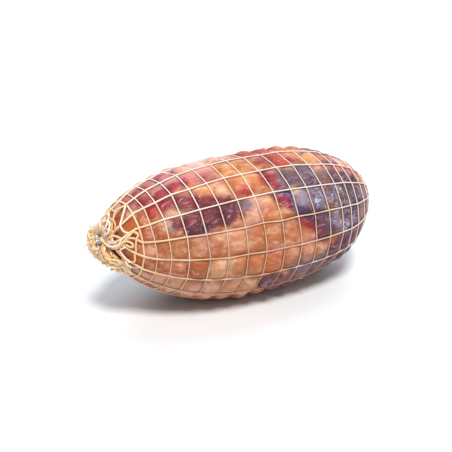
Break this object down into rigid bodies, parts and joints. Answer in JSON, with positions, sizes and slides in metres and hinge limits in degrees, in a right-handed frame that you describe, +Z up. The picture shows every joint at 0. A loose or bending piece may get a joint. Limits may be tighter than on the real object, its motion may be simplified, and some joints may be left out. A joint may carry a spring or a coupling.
{
  "type": "cured ham",
  "caption": "Boneless cured ham, rolled and pressed in a tied elastic net with a crimped clip at each end, lying on its side.",
  "frame": {"origin": "on the surface that the ham lies on, under the middle of its bounding box", "axes": "+Z up, +X along the ham from the tied end with the loose thread to the blunt end, the side shown in the picture faces -Y"},
  "size_m": [0.3686, 0.1656, 0.1483],
  "materials": {
    "meat": "cured meat: orange-tan rind, dark red lean, cream fat and a patch of grey-white mould, slightly greasy",
    "net_yarn": "knitted elastic net cord, cream, matt",
    "clip_metal": "crimped bright metal band"
  },
  "bodies": {
    "root": {"ham": "meat", "net": "net_yarn", "clip": "clip_metal", "clip_far": "clip_metal"}
  },
  "joints": []
}
